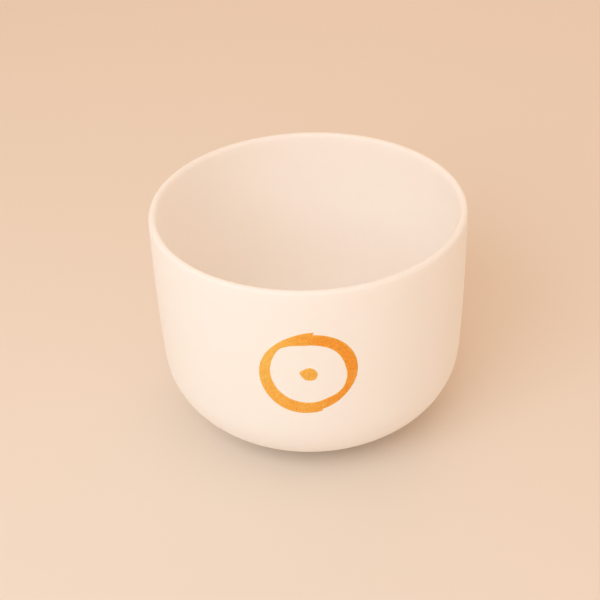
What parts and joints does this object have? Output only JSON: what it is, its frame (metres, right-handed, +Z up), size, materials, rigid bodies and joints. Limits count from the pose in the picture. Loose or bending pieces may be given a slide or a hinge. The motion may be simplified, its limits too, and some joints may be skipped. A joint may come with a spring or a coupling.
{
  "type": "singing bowl",
  "caption": "Deep round frosted-quartz singing bowl with a rounded base and a hand-painted sun sign on its front, standing loose on a soft rubber support ring.",
  "frame": {"origin": "middle of the support ring's underside, on the bowl's axis, where the ring meets the table", "axes": "+Z up along the bowl's axis out of its mouth; the painted sign faces -Y; +X is to the right when facing the sign"},
  "size_m": [0.2044, 0.2048, 0.1552],
  "materials": {
    "frosted_quartz": "frosted, translucent white with a satin surface",
    "sign_paint": "satin acrylic paint, orange-gold with fine pigment grain",
    "ring_rubber": "matt moulded rubber"
  },
  "bodies": {
    "ring": {"support_ring": "ring_rubber"},
    "bowl": {"bowl_shell": "frosted_quartz", "sign_stroke_left": "sign_paint", "sign_stroke_right": "sign_paint", "sign_dot": "sign_paint"}
  },
  "joints": [
    {"name": "bowl_lift", "type": "slide", "parent": "ring", "child": "bowl", "axis": [0, 0, 1], "range_m": [0, 0.12]}
  ]
}
